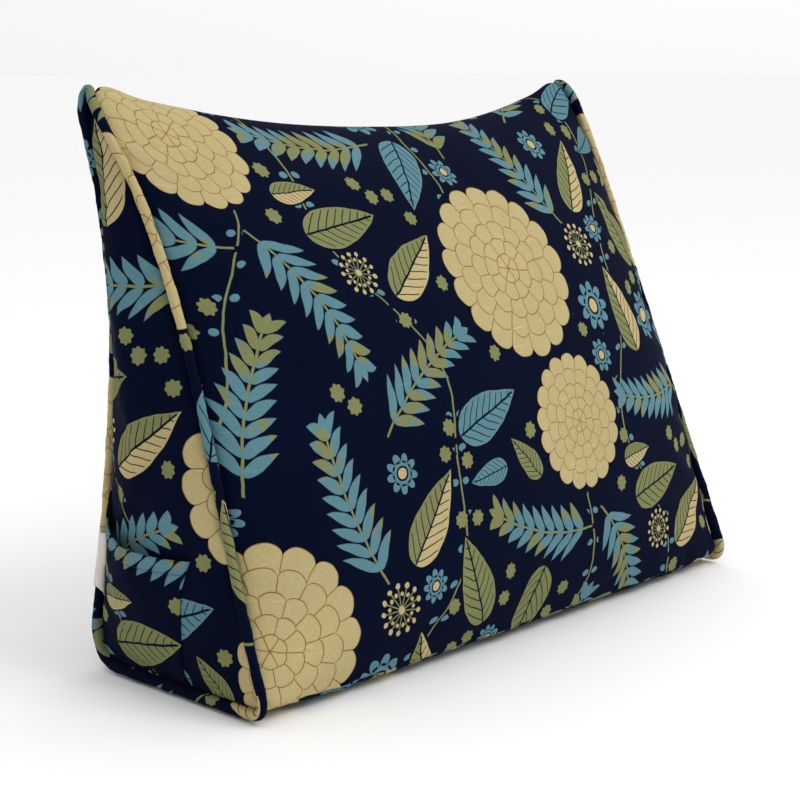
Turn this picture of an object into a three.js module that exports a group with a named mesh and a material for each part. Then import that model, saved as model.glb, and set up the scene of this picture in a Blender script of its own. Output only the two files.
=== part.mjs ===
// A wedge-shaped backrest cushion: a filled triangular prism of printed cotton that stands on its
// base, with an upright back and a sloping front. Corded piping is sewn round both triangular side
// panels, a patch pocket with an open mouth sits low on the left one, and a bare woven tag is
// caught in the rear seam beside the pocket.
//
// Millimetres. X runs along the width, Y from the sloping front to the upright back, Z up.
// The origin is the middle of the base, on the surface that the cushion stands on.

import * as THREE from 'three';

// Driving dimensions of the body
const WIDTH = 600;
const DEPTH = 200;
const HEIGHT = 470;
const BASE_SEAM = 9;
const BASE_BULGE = 2;
const TOP_SAG = 27;
const TOP_LEAN = 11;
const SIDE_CROWN = 16;
const SIDE_INSET = 8;

// The piping, and how far its middle stands from the seam
const CORD_RADIUS = 4;
const CORD_OFFSET = 5;
const CORD_SIDES = 8;

// How far what is sewn to a side panel stands off it
const GAP = 0.9;

// The pocket. Its inset is from the seams, and the mouth rises and flares towards its corners.
const POCKET_FRONT = -14;
const POCKET_HEIGHT = 112;
const POCKET_INSET = 4.5;
const POCKET_CORNER = 26;
const POCKET_CLOTH = 1.6;
const POCKET_HEM = 2.4;
const POCKET_GAPE = 12;
const MOUTH_RISE = 36;
const MOUTH_FLARE = 9;

// The tag's lower and upper edge, above the surface
const LABEL_LOW = 64;
const LABEL_HIGH = 112;
const LABEL_CLOTH = 1.2;

// How finely the surfaces are divided
const WIDTH_STEPS = 26;
const CORNER_STEPS = 6;
const SIDE_RINGS = 7;
const POCKET_STEPS = 12;
const LABEL_STEPS = 6;

// The corners of the triangular cross-section. y and z are where the side panels' seams would
// meet, and shiftY and shiftZ move that corner at mid-width. round and midRound are how far from
// the corner its rounding starts, at a side panel and at mid-width.
const CORNERS = {
  toe: { y: -DEPTH / 2, z: BASE_SEAM, shiftY: -BASE_BULGE, shiftZ: 0, round: 16, midRound: 5 },
  apex: { y: DEPTH / 2, z: HEIGHT, shiftY: -TOP_LEAN, shiftZ: -TOP_SAG, round: 26, midRound: 45 },
  heel: { y: DEPTH / 2, z: BASE_SEAM, shiftY: BASE_BULGE, shiftZ: 0, round: 30, midRound: 5 },
};
const CORNER_NAMES = Object.keys(CORNERS);

// The panels in order round the cross-section.
// bow: how far the side seam curves outwards from the straight line between its corners.
// draw: how far that seam is pulled in towards the middle of the width.
// power and skew: how squarely those two curves fill out, and which end they are fuller at.
// swell: how far the panel stands out at mid-width.
const PANELS = [
  { from: 'toe', to: 'apex', bow: 12.5, draw: 17, power: 2, skew: 1.56, swell: 70, steps: 26 },
  { from: 'apex', to: 'heel', bow: -3, draw: 28.5, power: 1.53, skew: 0.81, swell: 30, steps: 22 },
  { from: 'heel', to: 'toe', bow: 0, draw: 0, power: 2, skew: 1, swell: BASE_SEAM, steps: 12 },
];
const BASE = PANELS[2];

// How squarely the front and the back swell, from base to top and from side to side
const SWELL_POWER = 2.3;

// How the top edge falls to its sides: flat in the middle, then steeper towards the seams
const TOP_POWER = 2.9;
const TOP_SHARPNESS = 1.65;

// Share of a panel's edge next to the apex over which the top's rounding takes over
const APEX_BLEND = 0.16;

// How far the tips of the side panels are tucked in towards mid-width, and how far down they are
const APEX_TUCK = 7;
const TUCK_REACH = 60;

// The flat of the base, as a share of the way from its middle to its seams, and how squarely it
// turns up from there. Its sides are straight and its edge is clear, so that it stands steadily.
const FLAT_SHARE = 0.664;
const FLAT_POWER = 1.5;

// The middle of a side panel, how squarely the panel is crowned, and how its rings crowd outwards
const SIDE_MIDDLE = new THREE.Vector2(DEPTH / 6, 0.36 * HEIGHT);
const CROWN_POWER = 0.55;
const RING_POWER = 1.4;

// The shape of the pocket: how sharply its mouth rises at the rear and flares at the front, how
// round its belly is, how far up it gets its full depth, and the hem's share of its height
const RISE_POWER = 3.6;
const FLARE_POWER = 6;
const BELLY_POWER = 0.8;
const BELLY_FULL = 0.9;
const HEM_SHARE = 0.125;

// The tag's line across its width: a short tape that leaves the rear seam beside the side panel
// and bends round the cord. out is how far it stands from the seam sideways, and back how far
// towards the back. The first place lies on the side panel, whatever its out.
const LABEL_LINE = [
  { out: 0, back: -1.6 },
  { out: 7.2, back: -1.2 },
  { out: 8.6, back: 3 },
  { out: 8.2, back: 6.4 },
];

// What a place may lie outside a triangle by and still count as on it, as a share of its size
const ROUNDING = 1e-9;

const CLOTH = new THREE.MeshStandardMaterial({ color: 0x0d1630, roughness: 0.9, metalness: 0 });
const CORDING = new THREE.MeshStandardMaterial({ color: 0x1c2740, roughness: 0.9, metalness: 0 });
const TAG = new THREE.MeshStandardMaterial({ color: 0xe2dfd6, roughness: 0.7, metalness: 0 });

const { lerp, smoothstep } = THREE.MathUtils;

// Rises from 0 at both ends of an edge to 1 in between.
function arch(t, power, skew) {
  return 1 - Math.abs(2 * t ** skew - 1) ** power;
}

// 1 over the flat middle of the base, falling to 0 in a round at both ends of -1 to 1.
function plateau(x) {
  const beyond = Math.max(0, (Math.abs(x) - FLAT_SHARE) / (1 - FLAT_SHARE));
  return Math.sqrt(1 - Math.min(1, beyond) ** FLAT_POWER);
}

// How far a side seam is drawn in at a share t of a panel's edge.
function drawAt(panel, t) {
  return panel.draw * arch(t, panel.power, panel.skew);
}

// How far the tip of a side panel is tucked in at a distance down from it.
function tuckAt(distance) {
  return APEX_TUCK * Math.max(0, 1 - distance / TUCK_REACH) ** 2;
}

function cornerPoint(name, mid) {
  const corner = CORNERS[name];
  const point = new THREE.Vector2(corner.y, corner.z);
  if (mid) point.add(new THREE.Vector2(corner.shiftY, corner.shiftZ));
  return point;
}

// A point of a panel's edge in the YZ plane: on the side seam, or at mid-width.
function edgePoint(panel, t, mid) {
  const start = cornerPoint(panel.from, mid);
  const along = cornerPoint(panel.to, mid).sub(start);
  const outward = new THREE.Vector2(-along.y, along.x).normalize();
  let out = panel.bow * arch(t, panel.power, panel.skew);
  if (mid) out = panel.swell * (panel === BASE ? plateau(2 * t - 1) : arch(t, SWELL_POWER, 1));
  return start.addScaledVector(along, t).addScaledVector(outward, out);
}

// How much of a panel's edge the rounding of one of its corners takes, as a share of its length.
function roundedShare(panel, name, mid) {
  const length = cornerPoint(panel.from, mid).distanceTo(cornerPoint(panel.to, mid));
  const corner = CORNERS[name];
  return (mid ? corner.midRound : corner.round) / length;
}

// Where a panel's edge starts and stops between the roundings at its ends.
function startOf(panel, mid) {
  return roundedShare(panel, panel.from, mid);
}

function endOf(panel, mid) {
  return 1 - roundedShare(panel, panel.to, mid);
}

function panelAfter(i) {
  return PANELS[(i + 1) % PANELS.length];
}

// One closed line round the cross-section, in the YZ plane, as panel edges and rounded corners.
function crossSection(mid) {
  const points = [];
  PANELS.forEach((panel, i) => {
    const next = panelAfter(i);
    for (let k = 0; k <= panel.steps; k += 1) {
      const t = lerp(startOf(panel, mid), endOf(panel, mid), k / panel.steps);
      points.push(edgePoint(panel, t, mid));
    }
    const before = points[points.length - 1];
    const after = edgePoint(next, startOf(next, mid), mid);
    const turn = new THREE.QuadraticBezierCurve(before, cornerPoint(panel.to, mid), after);
    for (let k = 1; k < CORNER_STEPS; k += 1) points.push(turn.getPoint(k / CORNER_STEPS));
  });
  return points;
}

// For each point of crossSection(false): how far the seam is drawn in, how much the top's rounding
// has taken over, how much of the base's flat it has, and its place on the triangle without bows
// or roundings, as its share of each corner.
function stations() {
  const list = [];
  PANELS.forEach((panel, i) => {
    const next = panelAfter(i);
    const last = endOf(panel, false);
    const first = startOf(next, false);
    const length = cornerPoint(panel.from, false).distanceTo(cornerPoint(panel.to, false));
    for (let k = 0; k <= panel.steps; k += 1) {
      const t = lerp(startOf(panel, false), last, k / panel.steps);
      const fromApex = panel.to === 'apex' ? 1 - t : t;
      const top = panel === BASE ? 0 : smoothstep(1 - fromApex / APEX_BLEND, 0, 1);
      const base = panel === BASE ? 1 : 0;
      const draw = drawAt(panel, t) + (panel === BASE ? 0 : tuckAt(fromApex * length));
      list.push({ draw, top, base, shares: { [panel.from]: 1 - t, [panel.to]: t } });
    }
    const atApex = panel.to === 'apex';
    for (let k = 1; k < CORNER_STEPS; k += 1) {
      const part = k / CORNER_STEPS;
      const turned = 2 * part - 1;
      const away = Math.abs(turned) * (turned < 0 ? 1 - last : first);
      const other = turned < 0 ? panel.from : next.to;
      const tuck = atApex ? tuckAt(Math.abs(turned) * CORNERS.apex.round) : 0;
      list.push({
        draw: lerp(drawAt(panel, last), drawAt(next, first), part) + tuck,
        top: atApex ? 1 : 0,
        base: atApex ? 0 : 0.5,
        shares: { [panel.to]: 1 - away, [other]: away },
      });
    }
  });
  return list;
}

// How much of the mid-width shape the cross-section has at u, from -1 at the left seam to 1.
function fullness(station, u) {
  const reach = Math.abs(u);
  const standing = Math.sqrt(1 - reach ** SWELL_POWER);
  const top = (1 - reach ** TOP_POWER) ** TOP_SHARPNESS;
  return lerp(lerp(standing, plateau(u), station.base), top, station.top);
}

const SEAM = crossSection(false);
const MIDDLE = crossSection(true);
const STATIONS = stations();
const COUNT = SEAM.length;

// Half the width between the two side seams at each station.
const HALF_WIDTHS = STATIONS.map((station) => WIDTH / 2 - station.draw);

// The share at which each ring of a side panel's points lies, closer together near its seam.
function ringShare(ring) {
  return 1 - (ring / SIDE_RINGS) ** RING_POWER;
}

// How far from the seams a side panel's point lies: the product of its shares of the three
// corners, which is 0 at every seam, over what it is at the middle.
function depthInside(share, i) {
  const even = 1 / CORNER_NAMES.length;
  let product = 1;
  for (const name of CORNER_NAMES) {
    product *= lerp(even, STATIONS[i].shares[name] ?? 0, share) / even;
  }
  return Math.max(0, product);
}

// A point of a side panel: share is 1 at its seam and 0 at its middle. side is -1 left, 1 right.
function sidePoint(side, share, i) {
  const flat = SIDE_MIDDLE.clone().lerp(SEAM[i], share);
  const base = lerp(WIDTH / 2 - SIDE_INSET, HALF_WIDTHS[i], share ** 2);
  const crown = SIDE_CROWN * depthInside(share, i) ** CROWN_POWER;
  return [side * (base + crown), flat.x, flat.y];
}

function meshOf(name, positions, indices, material) {
  const geometry = new THREE.BufferGeometry();
  geometry.setAttribute('position', new THREE.Float32BufferAttribute(positions.flat(), 3));
  geometry.setIndex(indices);
  geometry.computeVertexNormals();
  const mesh = new THREE.Mesh(geometry, material);
  mesh.name = name;
  return mesh;
}

// Two triangles for the four corners a, b, c, d in order round a face.
function quad(indices, a, b, c, d) {
  indices.push(a, b, c, a, c, d);
}

// The rings of one side panel, from the body's outermost column of points in to a single point.
function closeSide(side, positions, indices) {
  let outer = side < 0 ? 0 : WIDTH_STEPS * COUNT;
  for (let ring = 1; ring <= SIDE_RINGS; ring += 1) {
    const inner = positions.length;
    const points = ring < SIDE_RINGS ? COUNT : 1;
    for (let i = 0; i < points; i += 1) positions.push(sidePoint(side, ringShare(ring), i));
    for (let i = 0; i < COUNT; i += 1) {
      const next = (i + 1) % COUNT;
      const face = [outer + i, outer + next];
      if (points > 1) face.push(inner + next, inner + i);
      else face.push(inner);
      if (side > 0) face.reverse();
      if (points > 1) quad(indices, ...face);
      else indices.push(...face);
    }
    outer = inner;
  }
}

// The filled body: the panels that wrap round it from side seam to side seam, and the two sides.
function cushion() {
  const positions = [];
  const indices = [];
  for (let j = 0; j <= WIDTH_STEPS; j += 1) {
    const u = Math.sin(Math.PI * (j / WIDTH_STEPS - 0.5));
    for (let i = 0; i < COUNT; i += 1) {
      const flat = SEAM[i].clone().lerp(MIDDLE[i], fullness(STATIONS[i], u));
      positions.push([HALF_WIDTHS[i] * u, flat.x, flat.y]);
    }
  }
  for (let j = 0; j < WIDTH_STEPS; j += 1) {
    for (let i = 0; i < COUNT; i += 1) {
      const next = (i + 1) % COUNT;
      quad(indices, j * COUNT + i, (j + 1) * COUNT + i, (j + 1) * COUNT + next, j * COUNT + next);
    }
  }
  closeSide(-1, positions, indices);
  closeSide(1, positions, indices);
  return meshOf('cushion', positions, indices, CLOTH);
}

// The piping cord's middle beside each station: out from the seam, halfway between its two panels.
function cordLine(side) {
  const reach = CORD_OFFSET * Math.SQRT1_2;
  return SEAM.map((point, i) => {
    const ahead = SEAM[(i + 1) % COUNT];
    const behind = SEAM[(i + COUNT - 1) % COUNT];
    const along = ahead.clone().sub(behind).normalize();
    const outward = new THREE.Vector3(side, -along.y, along.x);
    const place = new THREE.Vector3(side * HALF_WIDTHS[i], point.x, point.y);
    return { place: place.addScaledVector(outward, reach), outward: outward.clone().normalize() };
  });
}

// A round cord that closes on itself, as rings of points square to its middle line.
function piping(name, side) {
  const line = cordLine(side);
  const positions = [];
  const indices = [];
  line.forEach(({ place, outward }, i) => {
    const ahead = line[(i + 1) % COUNT].place;
    const behind = line[(i + COUNT - 1) % COUNT].place;
    const along = ahead.clone().sub(behind).normalize();
    const across = new THREE.Vector3().crossVectors(along, outward).normalize();
    const up = new THREE.Vector3().crossVectors(across, along);
    for (let k = 0; k < CORD_SIDES; k += 1) {
      const angle = 2 * Math.PI * k / CORD_SIDES;
      const point = place.clone();
      point.addScaledVector(across, CORD_RADIUS * Math.cos(angle));
      point.addScaledVector(up, CORD_RADIUS * Math.sin(angle));
      positions.push(point.toArray());
    }
  });
  for (let i = 0; i < COUNT; i += 1) {
    const here = i * CORD_SIDES;
    const ahead = ((i + 1) % COUNT) * CORD_SIDES;
    for (let k = 0; k < CORD_SIDES; k += 1) {
      const turn = (k + 1) % CORD_SIDES;
      quad(indices, here + k, ahead + k, ahead + turn, here + turn);
    }
  }
  return meshOf(name, positions, indices, CORDING);
}

// The triangles of the left side panel, for finding how far out it stands at a place.
function leftPanel() {
  const triangles = [];
  for (let ring = 0; ring < SIDE_RINGS; ring += 1) {
    const outer = ringShare(ring);
    const inner = ringShare(ring + 1);
    for (let i = 0; i < COUNT; i += 1) {
      const next = (i + 1) % COUNT;
      const start = sidePoint(-1, outer, i);
      const across = sidePoint(-1, inner, next);
      triangles.push([start, sidePoint(-1, outer, next), across]);
      if (inner > 0) triangles.push([start, across, sidePoint(-1, inner, i)]);
    }
  }
  return triangles;
}

const LEFT_PANEL = leftPanel();

// The X of the left side panel's surface above a point of the YZ plane.
function panelX(y, z) {
  for (const [a, b, c] of LEFT_PANEL) {
    const area = (b[1] - a[1]) * (c[2] - a[2]) - (c[1] - a[1]) * (b[2] - a[2]);
    const toB = ((y - a[1]) * (c[2] - a[2]) - (c[1] - a[1]) * (z - a[2])) / area;
    const toC = ((b[1] - a[1]) * (z - a[2]) - (y - a[1]) * (b[2] - a[2])) / area;
    if (toB >= -ROUNDING && toC >= -ROUNDING && toB + toC <= 1 + ROUNDING) {
      return a[0] + toB * (b[0] - a[0]) + toC * (c[0] - a[0]);
    }
  }
  throw new Error(`no side panel at ${y}, ${z}`);
}

// A thin closed solid between two grids of the same size, inner face first.
function sheet(name, rows, columns, innerAt, outerAt, material) {
  const positions = [];
  const indices = [];
  for (const at of [innerAt, outerAt]) {
    for (let i = 0; i <= rows; i += 1) {
      for (let j = 0; j <= columns; j += 1) positions.push(at(i / rows, j / columns));
    }
  }
  const across = columns + 1;
  const outer = (rows + 1) * across;
  for (let i = 0; i < rows; i += 1) {
    for (let j = 0; j < columns; j += 1) {
      const a = i * across + j;
      quad(indices, a, a + across, a + across + 1, a + 1);
      quad(indices, outer + a, outer + a + 1, outer + a + across + 1, outer + a + across);
    }
  }
  for (let j = 0; j < columns; j += 1) {
    const last = rows * across + j;
    quad(indices, j, j + 1, outer + j + 1, outer + j);
    quad(indices, last, outer + last, outer + last + 1, last + 1);
  }
  for (let i = 0; i < rows; i += 1) {
    const first = i * across;
    const last = first + columns;
    quad(indices, first, outer + first, outer + first + across, first + across);
    quad(indices, last, last + across, outer + last + across, outer + last);
  }
  return meshOf(name, positions, indices, material);
}

// A place on the pocket in the YZ plane: a runs from its front edge to the rear seam, b from the
// base seam to the mouth. The lower rear corner follows the side panel's rounded corner.
function pocketPlace(a, b) {
  const rear = DEPTH / 2 - POCKET_INSET;
  const low = BASE_SEAM + POCKET_INSET;
  const front = POCKET_FRONT - MOUTH_FLARE * b ** FLARE_POWER;
  const high = POCKET_HEIGHT + MOUTH_RISE * a ** RISE_POWER;
  const y = lerp(front, rear, a);
  const z = lerp(low, high, b);
  const middleY = rear - POCKET_CORNER;
  const middleZ = low + POCKET_CORNER;
  const p = (y - middleY) / POCKET_CORNER;
  const q = (middleZ - z) / POCKET_CORNER;
  if (p <= 0 || q <= 0) return [y, z];
  return [
    middleY + POCKET_CORNER * p * Math.sqrt(1 - q * q / 2),
    middleZ - POCKET_CORNER * q * Math.sqrt(1 - p * p / 2),
  ];
}

// The patch pocket: sewn down along its front, its foot and the rear seam, and standing off the
// side panel towards its open mouth, where its hem is folded double.
function pocket() {
  const faceAt = (a, b, cloth) => {
    const [y, z] = pocketPlace(a, b);
    const belly = POCKET_GAPE * Math.sin(Math.PI * a) ** BELLY_POWER * smoothstep(b, 0, BELLY_FULL);
    return [panelX(y, z) - GAP - belly - cloth, y, z];
  };
  const clothAt = (b) => (b > 1 - HEM_SHARE ? POCKET_HEM : POCKET_CLOTH);
  const inner = (a, b) => faceAt(a, b, 0);
  const outer = (a, b) => faceAt(a, b, clothAt(b));
  return sheet('side_pocket', POCKET_STEPS, POCKET_STEPS, inner, outer, CLOTH);
}

// The rear seam at a height: half the width between the two of them, and its Y.
function rearSeamAt(z) {
  const above = SEAM.findIndex((point, i) => {
    const next = SEAM[(i + 1) % COUNT];
    return point.x > 0 && point.y >= z && next.y < z;
  });
  const below = (above + 1) % COUNT;
  const part = (SEAM[above].y - z) / (SEAM[above].y - SEAM[below].y);
  return {
    half: lerp(HALF_WIDTHS[above], HALF_WIDTHS[below], part),
    y: lerp(SEAM[above].x, SEAM[below].x, part),
  };
}

function label() {
  const steps = LABEL_LINE.length - 1;
  const faceAt = (a, b, cloth) => {
    const z = lerp(LABEL_LOW, LABEL_HIGH, b);
    const seam = rearSeamAt(z);
    const k = Math.round(a * steps);
    const here = LABEL_LINE[k];
    const before = LABEL_LINE[Math.max(0, k - 1)];
    const after = LABEL_LINE[Math.min(steps, k + 1)];
    const face = new THREE.Vector2(after.back - before.back, before.out - after.out).normalize();
    const y = seam.y + here.back + face.y * cloth;
    const out = k === 0 ? GAP - panelX(y, z) : seam.half + here.out + face.x * cloth;
    return [-out, y, z];
  };
  const inner = (a, b) => faceAt(a, b, 0);
  const outer = (a, b) => faceAt(a, b, LABEL_CLOTH);
  return sheet('seam_label', steps, LABEL_STEPS, inner, outer, TAG);
}

const backrest = new THREE.Group();
backrest.add(cushion());
backrest.add(piping('piping_left', -1));
backrest.add(piping('piping_right', 1));
backrest.add(pocket());
backrest.add(label());

export default backrest;
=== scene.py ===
import math

import bpy
import numpy as np
from mathutils import Matrix, Vector
from mathutils.bvhtree import BVHTree
from mathutils.geometry import delaunay_2d_cdt
from mathutils.kdtree import KDTree


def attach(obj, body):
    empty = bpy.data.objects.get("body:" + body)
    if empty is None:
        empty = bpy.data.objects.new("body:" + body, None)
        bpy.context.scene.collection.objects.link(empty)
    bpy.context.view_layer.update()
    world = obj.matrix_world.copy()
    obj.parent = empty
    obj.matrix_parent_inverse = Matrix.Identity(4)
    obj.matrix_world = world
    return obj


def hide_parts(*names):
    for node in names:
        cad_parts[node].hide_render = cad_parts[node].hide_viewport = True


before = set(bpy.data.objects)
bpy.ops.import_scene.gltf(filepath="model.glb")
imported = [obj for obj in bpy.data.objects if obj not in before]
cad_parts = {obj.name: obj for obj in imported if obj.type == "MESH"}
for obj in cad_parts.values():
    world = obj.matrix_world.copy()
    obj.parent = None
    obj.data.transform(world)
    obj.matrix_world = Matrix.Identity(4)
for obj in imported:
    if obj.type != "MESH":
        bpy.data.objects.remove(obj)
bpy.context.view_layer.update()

# A wedge-shaped backrest cushion in printed cotton, in metres. X runs along the width, Y from the
# sloping front to the upright back, Z up. It stands on its base, on the floor at Z 0.

# Driving sizes of the body, which are those of its solids
WIDTH = 0.600
DEPTH = 0.200
HEIGHT = 0.470
BASE_SEAM = 0.009
BASE_BULGE = 0.002
TOP_SAG = 0.027
TOP_LEAN = 0.011
SIDE_CROWN = 0.016
SIDE_INSET = 0.008
SWELL_POWER = 2.3
TOP_POWER = 2.9
TOP_SHARPNESS = 1.65
APEX_BLEND = 0.16
APEX_TUCK = 0.007
TUCK_REACH = 0.060
FLAT_SHARE = 0.664
FLAT_POWER = 1.5
CROWN_POWER = 0.55
SIDE_MIDDLE = np.array([DEPTH / 6, 0.36 * HEIGHT])

# The corners of the cross-section: where the side seams meet, what moves that corner at
# mid-width, and how far from it the rounding starts at a side panel and at mid-width
CORNERS = {
    "toe": dict(at=(-DEPTH / 2, BASE_SEAM), shift=(-BASE_BULGE, 0), round=0.016, mid_round=0.005),
    "apex": dict(at=(DEPTH / 2, HEIGHT), shift=(-TOP_LEAN, -TOP_SAG), round=0.026, mid_round=0.045),
    "heel": dict(at=(DEPTH / 2, BASE_SEAM), shift=(BASE_BULGE, 0), round=0.030, mid_round=0.005),
}
CORNER_NAMES = list(CORNERS)

# The panels in order round the cross-section: how far the side seam bows outwards and is drawn in,
# the shape of those two curves, and how far the panel stands out at mid-width
PANELS = [
    dict(start="toe", end="apex", bow=0.0125, draw=0.017, power=2, skew=1.56, swell=0.070, steps=64),
    dict(start="apex", end="heel", bow=-0.003, draw=0.0285, power=1.53, skew=0.81, swell=0.030, steps=58),
    dict(start="heel", end="toe", bow=0, draw=0, power=2, skew=1, swell=BASE_SEAM, steps=24),
]
FRONT, BACK, BASE = range(3)
CORNER_STEPS = 6

# How finely the cloth is divided, and how much closer together its points are near the seams
WIDTH_STEPS = 96
EDGE_CROWDING = 0.7
SIDE_CELL = 0.0075
SIDE_RINGS = (0.0025, 0.006)
FINE_STEPS = 6

# The filling pushes the top edge up beside its two ends, and along its left half
APEX_PUFF = 0.0050
PUFF_AT = 0.955
PUFF_WIDE = 0.065
PUFF_END = 120
LEFT_PUFF = 0.0044
LEFT_PUFF_AT = -0.45
LEFT_PUFF_WIDE = 0.5

# The top stands a little to the left of the base, from the lower height to the upper one
TOP_LEFT = 0.006
LEAN_HEIGHTS = (0.37, 0.485)

# The seams: how deep the stitching pulls them in, the puckers beside them, and the pull lines that
# run from them into the cloth
SEAM_SINK = 0.0020
SINK_REACH = 0.005
PUCKER = 0.00050
PUCKER_PITCH = 0.0135
PUCKER_REACH = 0.010
PULL = 0.0013
PULL_PITCH = 0.051

# Piping
CORD_RADIUS = 0.004
CORD_OFFSET = 0.0044
CORD_SIDES = 16
CORD_RINGS = 440
CORD_UNEVEN = 0.00022
JOIN_HEIGHT = 0.075
JOIN_WIDE = 0.0035
JOIN_BUMP = 0.0009

# Pocket
POCKET_FRONT = -0.014
POCKET_HEIGHT = 0.112
POCKET_INSET = 0.0008
POCKET_CORNER = 0.027
POCKET_CLOTH = 0.0011
POCKET_HEM = 0.0021
HEM_DEEP = 0.013
POCKET_GAPE = 0.0105
MOUTH_RISE = 0.036
RISE_POWER = 3.6
MOUTH_FLARE = 0.009
FLARE_POWER = 6
POCKET_STEPS = 56
HEM_STITCH = 0.0112

# The ends of the thread that hangs loose on the pocket, as Y and Z
THREAD_ENDS = ((0.092, 0.141), (0.050, 0.045))
THREAD_HALF = 0.00042

# Tag: its line out from the rear seam and towards the back, round the cord and folded back inside
LABEL_LOW = 0.068
LABEL_TIP = 0.060
LABEL_HIGH = 0.112
LABEL_CLOTH = 0.0005
LABEL_SKEW = 0.0012
LABEL_STEPS = 14
LABEL_LINE = (
    (-0.0005, -0.0015), (0.0018, -0.0036), (0.0038, -0.0062), (0.0066, -0.0068), (0.0090, -0.0046),
    (0.0096, -0.0018), (0.0096, 0.0006), (0.0093, 0.0022), (0.0089, 0.0026), (0.0085, 0.0018),
    (0.0086, -0.0002), (0.0084, -0.0022), (0.0074, -0.0042),
)
LABEL_CLEAR = 0.0004

# Cloth simulation
SIM_FRAMES = 20
SIM_PRESSURE = 4.0
CLOTH_SPARE = 0.012
MOVE_CAP = 0.0026
TOP_CALM = 0.85
SPREAD_ROUNDS = 40

# Camera
VIEW_AZIMUTH = math.radians(-47.009)
VIEW_ELEVATION = math.radians(10.556)
VIEW_DISTANCE = 1.578
VIEW_CENTRE_Z = 0.2
VIEW_SHIFT_RIGHT = -0.03373
VIEW_SHIFT_UP = -0.00848
FOCAL_PIXELS = 1809.6
IMAGE_PIXELS = 800
SENSOR = 36.0


# Camera, first because everything else is judged through it
def add_camera():
    cos_e, sin_e = math.cos(VIEW_ELEVATION), math.sin(VIEW_ELEVATION)
    back = Vector((math.sin(VIEW_AZIMUTH) * cos_e, -math.cos(VIEW_AZIMUTH) * cos_e, sin_e))
    right = Vector((math.cos(VIEW_AZIMUTH), math.sin(VIEW_AZIMUTH), 0))
    up = back.cross(right)
    target = Vector((0, 0, VIEW_CENTRE_Z)) + right * VIEW_SHIFT_RIGHT + up * VIEW_SHIFT_UP
    data = bpy.data.cameras.new("camera")
    data.sensor_width = SENSOR
    data.lens = FOCAL_PIXELS / IMAGE_PIXELS * SENSOR
    camera = bpy.data.objects.new("camera", data)
    turned = Matrix((right, up, back)).transposed().to_4x4()
    camera.matrix_world = Matrix.Translation(target + back * VIEW_DISTANCE) @ turned
    bpy.context.collection.objects.link(camera)
    bpy.context.scene.camera = camera


# Shape of the body, as in its solids but finer
def arch(t, power, skew):
    return 1 - np.abs(2 * t**skew - 1) ** power


def plateau(x):
    beyond = np.maximum(0, (np.abs(x) - FLAT_SHARE) / (1 - FLAT_SHARE))
    return np.sqrt(1 - np.minimum(1, beyond) ** FLAT_POWER)


def smoothstep(x, low, high):
    t = np.clip((x - low) / (high - low), 0, 1)
    return t * t * (3 - 2 * t)


def hump(x, middle, wide):
    return np.exp(-(((x - middle) / wide) ** 2))


def lerp(a, b, t):
    return a + (b - a) * t


def draw_at(panel, t):
    return panel["draw"] * arch(t, panel["power"], panel["skew"])


def tuck_at(distance):
    return APEX_TUCK * max(0, 1 - distance / TUCK_REACH) ** 2


def corner_point(name, mid):
    corner = CORNERS[name]
    return np.array(corner["at"]) + (np.array(corner["shift"]) if mid else 0)


def edge_length(panel, mid):
    return np.linalg.norm(corner_point(panel["end"], mid) - corner_point(panel["start"], mid))


def edge_point(panel, t, mid):
    start, end = corner_point(panel["start"], mid), corner_point(panel["end"], mid)
    along = end - start
    outward = np.array([-along[1], along[0]]) / np.linalg.norm(along)
    if not mid:
        out = panel["bow"] * arch(t, panel["power"], panel["skew"])
    elif panel is PANELS[BASE]:
        out = panel["swell"] * plateau(2 * t - 1)
    else:
        out = panel["swell"] * arch(t, SWELL_POWER, 1)
    return start + along * t + outward * out


def rounded_share(panel, name, mid):
    return CORNERS[name]["mid_round" if mid else "round"] / edge_length(panel, mid)


def start_of(panel, mid):
    return rounded_share(panel, panel["start"], mid)


def end_of(panel, mid):
    return 1 - rounded_share(panel, panel["end"], mid)


def cross_section(mid):
    points = []
    for number, panel in enumerate(PANELS):
        after = PANELS[(number + 1) % len(PANELS)]
        for k in range(panel["steps"] + 1):
            t = lerp(start_of(panel, mid), end_of(panel, mid), k / panel["steps"])
            points.append(edge_point(panel, t, mid))
        a, b = points[-1], corner_point(panel["end"], mid)
        c = edge_point(after, start_of(after, mid), mid)
        for k in range(1, CORNER_STEPS):
            t = k / CORNER_STEPS
            points.append((1 - t) ** 2 * a + 2 * t * (1 - t) * b + t * t * c)
    return np.array(points)


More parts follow.
